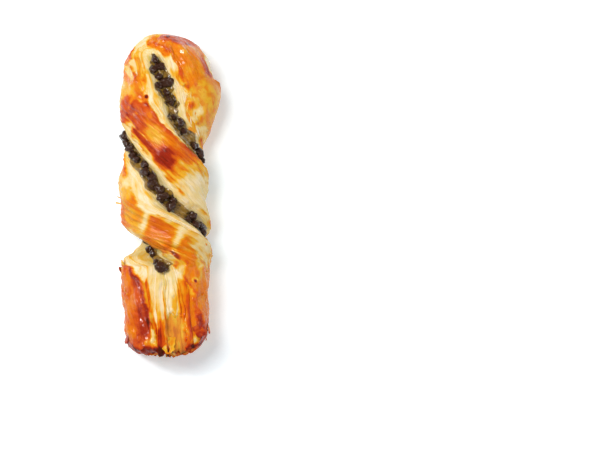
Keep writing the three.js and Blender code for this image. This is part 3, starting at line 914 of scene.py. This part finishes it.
def leaf_rings(station, angle, turn, length, half, lift, side, base, thickness, seed):
    """Rings of a thin closed leaf that lies on the strip and lifts off towards its tip.

    Its half-width falls as a rounded point. Its height over the strip rises from below the
    surface as a smooth step, tilted by the side lift, with a slight wave. Also gives the share
    of the way to the tip.
    """
    rows, columns = LEAF_GRID if half > LEAF_LEAST else SLIVER_GRID
    u = np.linspace(0, 1, rows)[:, None]
    v = np.linspace(-1, 1, columns)[None, :]
    away = np.stack(np.broadcast_arrays(u * length, v * half), -1)
    taper = 0.35 * min(1, 5 / half)
    wide = half * (1 - taper * u ** 2) * np.sqrt(np.clip(1 - (0.985 * u) ** 10, 0, 1))
    wide = wide + min(0.3, 0.16 * half) * ripples(away[:, :1], 3, seed, 2)
    long = u * (length + 0.35 * ripples(away[-1:], 3, seed + 1, 2))
    turned = math.radians(turn)
    forward = long * math.cos(turned) - v * wide * math.sin(turned)
    across = long * math.sin(turned) + v * wide * math.cos(turned)
    at = station + forward / LENGTH
    start = math.radians(angle)
    around = start + across / section_radius(min(station, 0.97), start)
    rise = smooth(u * 1.15) ** 1.4
    height = base - 0.5 + (0.5 + lift + side * v) * rise
    height = height + 0.12 * ripples(away, 3.5, seed + 2, 2) * u
    held = np.minimum(at, 0.975)
    radius = section_radius(held, around) - groove_cut(held, around) + height
    over = place(at, around, radius + thickness / 2)
    under = place(at, around, radius - thickness / 2)[:, ::-1]
    share = u + 0 * v
    return np.concatenate([over, under], axis=1), np.concatenate([share, share[:, ::-1]], axis=1)


def leaf_plans(sizes):
    """Every loose leaf's values: the larger ones, slivers along the cut sides, and crumbs.

    They are those of LEAVES, with the height over the section before the bake.
    """
    own = np.random.default_rng(sizes.seed + 300)
    plans = [(*leaf[:7], LEAF_BASE, *leaf[7:]) for leaf in LEAVES]
    for _ in range(sizes.slivers):
        side = int(own.integers(4))
        index, way = SIDES[side]
        station = own.uniform(0.1, 0.72)
        reach = seam_reach(station, index)
        away = 4 + own.uniform(0, 1) * max(0.5, 0.95 * float(cut_widths[side](station)) - 4)
        slope = (seam(index, station + 0.01) - seam(index, station)) / (0.01 * LENGTH)
        lean = math.degrees(math.atan2(float(slope) * 22, 1))
        angle = math.degrees(float(seam(index, station) + way * away / reach))
        plans.append((station, angle, lean + own.uniform(-5, 5), own.uniform(6, 15),
                      own.uniform(0.3, 0.8), own.uniform(0.1, 0.35), 0.2 * way, SLIVER_BASE,
                      own.uniform(0.04, 0.2), 0.1))
    for _ in range(sizes.crumbs):
        station, angle = own.uniform(0.05, 0.97), own.uniform(-125, 125)
        plans.append((station, angle, own.uniform(0, 360), own.uniform(1.4, 3.2),
                      own.uniform(0.4, 1), own.uniform(0.15, 0.5), 0, CRUMB_BASE,
                      own.uniform(0.15, 0.5), 0.5))
    return plans


def flakes(settings):
    """The loose leaves as one piece, each a thin closed sheet on the strip."""
    sizes, seed = settings.sizes, settings.sizes.seed
    points, faces, uv = [], [], []
    values = {"bake": [], "skin": [], "soak": [], "leaf": [], "gloss": [], "drawn": []}
    count = 0
    for order, (*shape, bake, glaze) in enumerate(leaf_plans(sizes)):
        rings, share = leaf_rings(*shape, sizes.flake_thickness / MM, seed + 20 * order)
        rows, columns = rings.shape[:2]
        flat = tipped(rings) + SHIFT
        flat[:, 2] = np.maximum(flat[:, 2], 0.05)
        points.append(flat)
        faces += [tuple(count + corner for corner in face) for face in ringed_faces(rows, columns)]
        uv.append(ringed_uv(rows, columns, np.arange(columns) / columns, np.linspace(0, 1, rows)))
        count += len(flat)
        tint = bake + 0.1 * smooth((share - 0.8) / 0.2) + 0.06 * ripples(rings, 4, seed + order, 2)
        tint = np.r_[bake, tint.ravel(), bake]
        values["bake"].append(np.clip(tint, 0, 1))
        for key, value in (("skin", glaze), ("soak", 0), ("leaf", 0), ("gloss", 0), ("drawn", 0.3)):
            values[key].append(0 * tint + value)
    piece = add_piece(
        "plait_flakes", np.concatenate(points), faces, pastry_material(settings),
        np.concatenate(uv), {key: np.concatenate(parts) for key, parts in values.items()},
    )
    turn_outwards(piece.data)
    piece.data.set_sharp_from_angle(angle=math.radians(50))
    return piece


# ---------------------------------------------------------------- custard


def chip_names():
    """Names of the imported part's chips, in order."""
    return [name for name in sorted(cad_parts) if name.startswith("chocolate_chip")]


def chip_box(name):
    """Middle and half-size of a packed chip, in millimetres."""
    low, high = (np.array(corner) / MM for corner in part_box(name))
    return (low + high) / 2, (high - low) / 2


BEAD_GRID = (320, 34)  # rows along the seam and columns across the bead's top


def custard_bead(index, settings):
    """The custard in a seam: a lumpy bead over the groove's floor.

    Across the bead its height is an arch that dives under the dough at both sides. It wanders
    beside the seam by a slow random field, and its half-width changes by another, up to a limit
    where the seam runs steeply round the strip. It climbs round each chip as a bell over the
    distance from the chip.
    """
    seed = settings.sizes.seed + 50 * (index + 1)
    rows, columns = BEAD_GRID
    station = np.linspace(SEAM_STARTS + 0.004, SEAM_ENDS - 0.002, rows)[:, None]
    arch = np.linspace(-np.pi / 2, np.pi / 2, columns)[None, :]
    across, body = np.sin(arch), np.cos(arch) ** 0.8
    reach = seam_reach(station, index)
    line = np.stack([station * LENGTH, 0 * station], -1)
    ends = smooth((station - station[0]) / 0.03) * smooth((station[-1] - station) / 0.03)
    half = 1.1 * BEAD_HALF * (1 + 0.2 * ripples(line, 9, seed, 2)) * (0.25 + 0.75 * ends)
    widest = (8 - 4 * bell(station - 0.7, 0.035)) / section_radius(station, seam(index, station))
    wander = 0.6 * ripples(line, 12, seed + 1, 2) - 1.5 * index * bell(station - 0.45, 0.05)
    angle = seam(index, station) + wander / reach + across * np.minimum(half / reach, widest)
    floor = section_radius(station, angle) - groove_cut(station, angle)
    plain = place(station, angle, floor) + SHIFT
    near = np.full(plain.shape[:2], 1e9)
    for middle, half_size in map(chip_box, chip_names()):
        near = np.minimum(near, np.linalg.norm(plain - middle, axis=-1) / half_size.max())
    climb = 0.9 * bell(np.clip(near - 0.8, 0, None), 0.8)
    lump = 0.4 * ripples(plain, 4.2, seed + 2, 3) + 0.2 * ripples(plain, 1.6, seed + 3, 2)
    thick = (BEAD_THICK * 0.8 + climb + lump) * (0.15 + 0.85 * ends)
    over = place(station, angle, floor + (thick + 0.5) * body - 0.5)
    under = place(station, angle, floor - 1.2)[:, ::-1]
    rings = np.concatenate([over, under[:, 1:-1]], axis=1)
    points = tipped(rings) + SHIFT
    points[:, 2] = np.maximum(points[:, 2], 0.4)
    melted = bell(np.clip(near - 0.9, 0, None), 0.8) + 0.4 * ripples(plain, 3, seed + 4, 2)
    melted = np.clip(melted, 0, 1)
    melted = np.concatenate([melted, 0 * melted[:, 1:-1]], axis=1)
    around = rings.shape[1]
    values = {"melted": np.r_[0, melted.ravel(), 0]}
    piece = add_piece(
        f"plait_custard_{'ab'[index]}", points, ringed_faces(rows, around),
        custard_material(settings),
        ringed_uv(rows, around, np.arange(around) / around, station[:, 0]), values,
    )
    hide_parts(f"custard_seam_{'ab'[index]}")
    return piece


# ---------------------------------------------------------------- chocolate chips


CHIP_GRID = (21, 30)  # rows from tip to foot and columns round a chip


def chocolate_chip(name, material, order, seed):
    """A baked chip: a lumpy drop, drawn to a blunt tip, leaning its own way.

    Its radius is one, plus a tip that grows as the sixth power of the height, plus dents from
    a smooth random field in three sizes. Each axis is stretched by a little of its own.
    """
    middle, half = chip_box(name)
    rows, columns = CHIP_GRID
    polar = np.linspace(0, np.pi, rows + 2)[1:-1, None]
    turn = np.linspace(0, 2 * np.pi, columns, endpoint=False)[None, :]
    around = np.stack(
        [np.sin(polar) * np.cos(turn), np.sin(polar) * np.sin(turn), np.cos(polar) + 0 * turn], -1
    )
    unit = np.vstack([[[0, 0, 1]], around.reshape(-1, 3), [[0, 0, -1]]])
    dents = 0.24 * ripples(unit, 2.1, seed + order, 3) + 0.05 * ripples(unit, 0.4, seed + order, 1)
    size = 0.94 + 0.22 * np.clip(unit[:, 2], 0, 1) ** 6 + dents
    own = np.random.default_rng(seed + 900 + order)
    shape = unit * size[:, None] * own.uniform(0.78, 1.26, 3)
    lean, spin = own.uniform(-1.2, 1.2), own.uniform(0, 2 * np.pi)
    tilt = np.array([[1, 0, 0], [0, math.cos(lean), -math.sin(lean)],
                     [0, math.sin(lean), math.cos(lean)]])
    whirl = np.array([[math.cos(spin), -math.sin(spin), 0], [math.sin(spin), math.cos(spin), 0],
                      [0, 0, 1]])
    grown = half.mean() * own.uniform(0.8, 1.3)
    points = shape @ (whirl @ tilt).T * grown + middle + own.uniform(-0.45, 0.45, 3)
    piece = add_piece(name.replace("chocolate", "plait"), points, ringed_faces(rows, columns),
                      material)
    turn_outwards(piece.data)
    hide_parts(name)
    return piece


# ---------------------------------------------------------------- materials


def new_material(name):
    """A fresh node material, its tree and its Principled shader."""
    material = bpy.data.materials.new(name)
    material.use_nodes = True
    shader = material.node_tree.nodes["Principled BSDF"]
    return material, material.node_tree, shader


def set_sockets(node, values):
    """Sets a node's own sockets, by name."""
    for name, value in values.items():
        node.inputs[name].default_value = value


def add_bump(tree, shader, height, strength, distance):
    """Bump from a height socket, on the shader's normal."""
    bump = add_node(tree, "ShaderNodeBump")
    set_sockets(bump, {"Strength": strength, "Distance": distance})
    tree.links.new(height, bump.inputs["Height"])
    tree.links.new(bump.outputs["Normal"], shader.inputs["Normal"])


def add_node(tree, kind, **settings):
    """A node of a kind with its settings made."""
    node = tree.nodes.new(kind)
    for key, value in settings.items():
        setattr(node, key, value)
    return node


def read_value(tree, name):
    """The socket that gives a value stored on the points."""
    return add_node(tree, "ShaderNodeAttribute", attribute_name=name).outputs["Fac"]


def maths(tree, operation, first, second, clamp=False):
    """A sum, product or other step between two sockets or numbers."""
    node = add_node(tree, "ShaderNodeMath", operation=operation, use_clamp=clamp)
    for socket, value in zip(node.inputs, (first, second)):
        if isinstance(value, (int, float)):
            socket.default_value = value
        else:
            tree.links.new(value, socket)
    return node.outputs[0]


def mixed(tree, share, first, second, blend="MIX"):
    """A blend of two colours, each a socket or a linear colour."""
    node = add_node(tree, "ShaderNodeMix", data_type="RGBA", blend_type=blend)
    for socket, value in zip((node.inputs[0], node.inputs[6], node.inputs[7]),
                             (share, first, second)):
        if isinstance(value, (int, float)):
            socket.default_value = value
        elif isinstance(value, bpy.types.NodeSocket):
            tree.links.new(value, socket)
        else:
            socket.default_value = (*value, 1)
    return node.outputs[2]


def noise(tree, vector, scale, detail=4, roughness=0.55):
    """A noise texture's value over a vector socket."""
    node = add_node(tree, "ShaderNodeTexNoise")
    set_sockets(node, {"Scale": scale, "Detail": detail, "Roughness": roughness})
    tree.links.new(vector, node.inputs["Vector"])
    return node.outputs["Fac"]


def ramp(tree, value, stops):
    """A colour ramp through (place, linear colour) stops."""
    node = add_node(tree, "ShaderNodeValToRGB")
    node.color_ramp.interpolation = "EASE"
    elements = node.color_ramp.elements
    while len(elements) < len(stops):
        elements.new(0.5)
    for element, (at, tint) in zip(elements, stops):
        element.position = at
        element.color = (*tint, 1)
    tree.links.new(value, node.inputs[0])
    return node.outputs["Color"]


def group_tree(name, inputs, outputs):
    """An empty node group with named sockets, with its input and its output node."""
    tree = bpy.data.node_groups.new(name, "ShaderNodeTree")
    for label, kind, value in inputs:
        socket = tree.interface.new_socket(label, in_out="INPUT", socket_type=kind)
        if value is not None:
            socket.default_value = value
    for label, kind in outputs:
        tree.interface.new_socket(label, in_out="OUTPUT", socket_type=kind)
    return tree, add_node(tree, "NodeGroupInput"), add_node(tree, "NodeGroupOutput")


def oven_colour_group(settings):
    """Dough's colour from how far it is baked: seven tints, broken up by fine random change."""
    name = "Oven colour"
    if name in bpy.data.node_groups:
        return bpy.data.node_groups[name]
    tree, given, result = group_tree(
        name,
        [("Bake", "NodeSocketFloat", 0.4), ("Mottle", "NodeSocketFloat", 0.5),
         ("Soak", "NodeSocketFloat", 0.0), ("Unevenness", "NodeSocketFloat", 0.1)],
        [("Colour", "NodeSocketColor")],
    )
    tints = settings.colours
    change = maths(tree, "MULTIPLY", maths(tree, "SUBTRACT", given.outputs["Mottle"], 0.5),
                   given.outputs["Unevenness"])
    bake = maths(tree, "ADD", given.outputs["Bake"], change, clamp=True)
    tint = ramp(tree, bake, [
        (0.04, tints.pale), (0.18, tints.straw), (0.34, tints.gold), (0.5, tints.orange),
        (0.66, tints.copper), (0.82, tints.red_brown), (1.0, tints.dark),
    ])
    soaked = mixed(tree, given.outputs["Soak"], tint, tints.soak)
    tree.links.new(soaked, result.inputs["Colour"])
    return tree


def fine_grain_group():
    """Fine unevenness of a baked surface: a height and a mask, from noise at two sizes."""
    name = "Fine grain"
    if name in bpy.data.node_groups:
        return bpy.data.node_groups[name]
    tree, given, result = group_tree(
        name,
        [("Vector", "NodeSocketVector", None), ("Coarse", "NodeSocketFloat", 300.0),
         ("Fine", "NodeSocketFloat", 1200.0)],
        [("Height", "NodeSocketFloat"), ("Mask", "NodeSocketFloat")],
    )
    coarse = add_node(tree, "ShaderNodeTexNoise")
    fine = add_node(tree, "ShaderNodeTexNoise")
    for node, label in ((coarse, "Coarse"), (fine, "Fine")):
        node.inputs["Detail"].default_value = 3
        tree.links.new(given.outputs["Vector"], node.inputs["Vector"])
        tree.links.new(given.outputs[label], node.inputs["Scale"])
    small = maths(tree, "MULTIPLY", fine.outputs["Fac"], 0.4)
    tree.links.new(maths(tree, "ADD", coarse.outputs["Fac"], small), result.inputs["Height"])
    tree.links.new(coarse.outputs["Fac"], result.inputs["Mask"])
    return tree


def place_group(tree, group, **inputs):
    """A node that uses a group, with its inputs set or linked."""
    node = add_node(tree, "ShaderNodeGroup", node_tree=group)
    for key, value in inputs.items():
        if isinstance(value, (int, float)):
            node.inputs[key].default_value = value
        else:
            tree.links.new(value, node.inputs[key])
    return node


def stretched(tree, vector, scale):
    """A vector scaled by its own amount along each axis."""
    node = add_node(tree, "ShaderNodeMapping", vector_type="POINT")
    node.inputs["Scale"].default_value = scale
    tree.links.new(vector, node.inputs["Vector"])
    return node.outputs["Vector"]


def pastry_material(settings):
    """Baked dough: the oven's colours, streaks along the strip, and a glossy glazed skin."""
    if "Baked pastry" in bpy.data.materials:
        return bpy.data.materials["Baked pastry"]
    material, tree, shader = new_material("Baked pastry")
    where = add_node(tree, "ShaderNodeTexCoord")
    body, strip = where.outputs["Object"], where.outputs["UV"]
    bake, skin = read_value(tree, "bake"), read_value(tree, "skin")
    soak, leaf, drawn = (read_value(tree, name) for name in ("soak", "leaf", "drawn"))
    streaks = noise(tree, stretched(tree, strip, (150, 22, 1)), 1.0, 5, 0.6)
    blotch = noise(tree, body, 330, 5, 0.62)
    streaks = maths(tree, "MULTIPLY", maths(tree, "SUBTRACT", streaks, blotch),
                    maths(tree, "MULTIPLY", drawn, 0.6))
    mottle = maths(tree, "ADD", blotch, streaks)
    tint = place_group(tree, oven_colour_group(settings), Bake=bake, Mottle=mottle,
                       Soak=maths(tree, "MULTIPLY", soak, 0.8), Unevenness=0.34)
    tree.links.new(tint.outputs["Colour"], shader.inputs["Base Color"])
    grain = place_group(tree, fine_grain_group(), Vector=body, Coarse=520.0, Fine=1700.0)
    roughness = maths(tree, "SUBTRACT", 0.62, maths(tree, "MULTIPLY", skin, 0.36))
    uneven = maths(tree, "MULTIPLY", maths(tree, "SUBTRACT", grain.outputs["Mask"], 0.5), 0.25)
    tree.links.new(maths(tree, "ADD", roughness, uneven, clamp=True), shader.inputs["Roughness"])
    wet = maths(tree, "MULTIPLY", read_value(tree, "gloss"), 0.75)
    coat = maths(tree, "ADD", maths(tree, "MULTIPLY", skin, 0.32), wet, clamp=True)
    tree.links.new(coat, shader.inputs["Coat Weight"])
    set_sockets(shader, {
        "Coat Roughness": 0.07,
        "Specular IOR Level": 0.06,
        "Subsurface Weight": settings.sizes.subsurface,
        "Subsurface Radius": (0.0022, 0.0011, 0.0005),
        "Subsurface Scale": 1.0,
    })
    lines = noise(tree, stretched(tree, strip, (260, 40, 1)), 1.0, 4, 0.6)
    lines = maths(tree, "MULTIPLY", lines, maths(tree, "MULTIPLY", drawn, 1.2))
    height = maths(tree, "ADD", grain.outputs["Height"], lines)
    height = maths(tree, "ADD", height, maths(tree, "MULTIPLY", leaf, 0.4))
    add_bump(tree, shader, height, 0.75, 0.0005)
    return material


def custard_material(settings):
    """Glossy custard, mottled where chocolate has melted into it."""
    if "Custard" in bpy.data.materials:
        return bpy.data.materials["Custard"]
    material, tree, shader = new_material("Custard")
    body = add_node(tree, "ShaderNodeTexCoord").outputs["Object"]
    grain = place_group(tree, fine_grain_group(), Vector=body, Coarse=650.0, Fine=1900.0)
    blotch = noise(tree, body, 420, 4, 0.65)
    melted = maths(tree, "ADD", read_value(tree, "melted"),
                   maths(tree, "MULTIPLY", maths(tree, "SUBTRACT", blotch, 0.5), 1.8), clamp=True)
    tints = settings.colours
    tint = mixed(tree, melted, tuple(tints.custard), tuple(tints.custard_dark))
    tree.links.new(tint, shader.inputs["Base Color"])
    tree.links.new(maths(tree, "MULTIPLY", grain.outputs["Mask"], 0.45), shader.inputs["Roughness"])
    set_sockets(shader, {
        "Subsurface Weight": 0.15,
        "Subsurface Radius": (0.002, 0.001, 0.0004),
        "Coat Weight": 0.9,
        "Coat Roughness": 0.06,
    })
    add_bump(tree, shader, grain.outputs["Height"], 0.6, 0.0003)
    return material


def chocolate_material(settings):
    """Dark chocolate with a shine, smeared with custard in places."""
    material, tree, shader = new_material("Chocolate")
    body = add_node(tree, "ShaderNodeTexCoord").outputs["Object"]
    grain = place_group(tree, fine_grain_group(), Vector=body, Coarse=700.0, Fine=2100.0)
    smear = maths(tree, "SUBTRACT", noise(tree, body, 380, 3, 0.6), 0.56)
    smear = maths(tree, "MULTIPLY", smear, 6, clamp=True)
    tints = settings.colours
    tint = mixed(tree, maths(tree, "MULTIPLY", smear, 0.55), tuple(tints.chocolate),
                 tuple(tints.custard_dark))
    tree.links.new(tint, shader.inputs["Base Color"])
    rough = maths(tree, "ADD", 0.05, maths(tree, "MULTIPLY", grain.outputs["Mask"], 0.14))
    tree.links.new(rough, shader.inputs["Roughness"])
    set_sockets(shader, {"Specular IOR Level": 0.14, "Coat Weight": 0.5, "Coat Roughness": 0.05})
    add_bump(tree, shader, grain.outputs["Height"], 0.7, 0.0004)
    return material


# ---------------------------------------------------------------- operators


class PlaitSettings(bpy.types.PropertyGroup):
    """All settings of the plait and its stage."""

    sizes: PointerProperty(type=PlaitSizes)
    colours: PointerProperty(type=PlaitColours)
    stage: PointerProperty(type=StageSettings)


class PLAIT_OT_pastry(bpy.types.Operator):
    """Build the twisted strip of puff pastry"""

    bl_idname = "plait.pastry"
    bl_label = "Pastry"

    def execute(self, context):
        pastry_twist(context.scene.plait)
        return {"FINISHED"}


class PLAIT_OT_flakes(bpy.types.Operator):
    """Build the loose leaves and flakes of pastry"""

    bl_idname = "plait.flakes"
    bl_label = "Flakes"

    def execute(self, context):
        flakes(context.scene.plait)
        return {"FINISHED"}


class PLAIT_OT_custard(bpy.types.Operator):
    """Build the custard that shows in the two seams"""

    bl_idname = "plait.custard"
    bl_label = "Custard"

    def execute(self, context):
        for index in (0, 1):
            custard_bead(index, context.scene.plait)
        return {"FINISHED"}


class PLAIT_OT_chips(bpy.types.Operator):
    """Build the chocolate chips in the custard"""

    bl_idname = "plait.chips"
    bl_label = "Chocolate chips"

    def execute(self, context):
        settings = context.scene.plait
        material = chocolate_material(settings)
        for order, name in enumerate(chip_names()):
            chocolate_chip(name, material, order, settings.sizes.seed)
        return {"FINISHED"}


def add_light(name, at, aim, size, energy, tint):
    """A square soft light that faces a point."""
    data = bpy.data.lights.new(name, "AREA")
    data.size, data.energy, data.color = size, energy, tint
    light = bpy.data.objects.new(name, data)
    light.location = at
    light.rotation_euler = (Vector(aim) - Vector(at)).to_track_quat("-Z", "Y").to_euler()
    bpy.context.scene.collection.objects.link(light)
    return light


FLOOR_HALF = 2.0
SENSOR_WIDTH = 36
WHITE = (1, 1, 1)

# Name, place, size, energy and tint of each light, in metres and watts.
LIGHTS = [
    ("key", (-0.21, 0.17, 0.86), 0.3, 4.5, (1, 0.985, 0.96)),
    ("sparkle", (-0.34, 0.16, 0.72), 0.09, 1.5, WHITE),
    ("side", (-0.62, 0.1, 0.4), 0.05, 0.45, WHITE),
    ("fill", (0.6, -0.12, 0.5), 0.5, 1.4, WHITE),
]


def lay_floor():
    """A wide pale table under the plait, outside the part."""
    half = FLOOR_HALF
    corners = [(-half, -half, 0), (half, -half, 0), (half, half, 0), (-half, half, 0)]
    mesh = bpy.data.meshes.new("floor")
    mesh.from_pydata(corners, [], [(0, 1, 2, 3)])
    floor = bpy.data.objects.new("floor", mesh)
    bpy.context.scene.collection.objects.link(floor)
    material, _, shader = new_material("White table")
    set_sockets(shader, {
        "Base Color": (0.87, 0.93, 0.97, 1),
        "Roughness": 0.9,
        "Specular IOR Level": 0.1,
        "Emission Color": (0.82, 0.94, 1, 1),
        "Emission Strength": 0.3,
    })
    mesh.materials.append(material)


def light_stage(scene):
    """A dim white world and four soft lights aimed at the plait's middle."""
    world = bpy.data.worlds.new("studio")
    world.use_nodes = True
    set_sockets(world.node_tree.nodes["Background"], {"Color": (*WHITE, 1), "Strength": 0.25})
    scene.world = world
    for name, at, size, energy, tint in LIGHTS:
        add_light(name, at, (0, 0, 0.02), size, energy, tint)
    scene.view_settings.view_transform = "Standard"


def place_camera(scene, stage):
    """A camera over the floor, so far off that it sees the view's width at the plait."""
    low, high = (np.array(corner) for corner in CAD_BOX)
    middle = (low + high) / 2
    rise = stage.elevation
    target = middle + [stage.beside, -stage.before / math.sin(rise), 0]
    data = bpy.data.cameras.new("camera")
    data.lens, data.sensor_width = stage.lens, SENSOR_WIDTH
    away = stage.view_width * stage.lens / data.sensor_width
    data.clip_start, data.clip_end = 0.01, 20
    camera = bpy.data.objects.new("camera", data)
    back = Vector((0, -math.cos(rise), math.sin(rise)))
    camera.location = Vector(target) + back * away
    camera.rotation_euler = (-back).to_track_quat("-Z", "Y").to_euler()
    scene.collection.objects.link(camera)
    scene.camera = camera


class PLAIT_OT_stage(bpy.types.Operator):
    """Lay the floor, set the lights and place the camera"""

    bl_idname = "plait.stage"
    bl_label = "Stage"

    def execute(self, context):
        lay_floor()
        light_stage(context.scene)
        place_camera(context.scene, context.scene.plait.stage)
        return {"FINISHED"}


class PLAIT_PT_sidebar(bpy.types.Panel):
    """The plait's settings and build steps"""

    bl_label = "Chocolate plait"
    bl_idname = "PLAIT_PT_sidebar"
    bl_space_type = "VIEW_3D"
    bl_region_type = "UI"
    bl_category = "Plait"

    def draw(self, context):
        layout = self.layout
        settings = context.scene.plait
        for group in (settings.sizes, settings.colours, settings.stage):
            box = layout.box()
            for key in group.bl_rna.properties.keys():
                if key not in ("rna_type", "name"):
                    box.prop(group, key)
        for operator in STEPS:
            layout.operator(operator.bl_idname)


STEPS = (PLAIT_OT_stage, PLAIT_OT_pastry, PLAIT_OT_flakes, PLAIT_OT_custard, PLAIT_OT_chips)
GROUPS = (PlaitSizes, PlaitColours, StageSettings, PlaitSettings)


def register():
    """Makes the settings, the operators and the panel known to Blender."""
    for item in (*GROUPS, *STEPS, PLAIT_PT_sidebar):
        bpy.utils.register_class(item)
    bpy.types.Scene.plait = PointerProperty(type=PlaitSettings)


def unregister():
    """Takes them away again."""
    del bpy.types.Scene.plait
    for item in reversed((*GROUPS, *STEPS, PLAIT_PT_sidebar)):
        bpy.utils.unregister_class(item)


def main():
    """Builds the stage and every piece."""
    register()
    for step in (bpy.ops.plait.stage, bpy.ops.plait.pastry, bpy.ops.plait.flakes,
                 bpy.ops.plait.custard, bpy.ops.plait.chips):
        if step() != {"FINISHED"}:
            raise RuntimeError("a build step didn't finish")


if __name__ == "__main__":
    main()
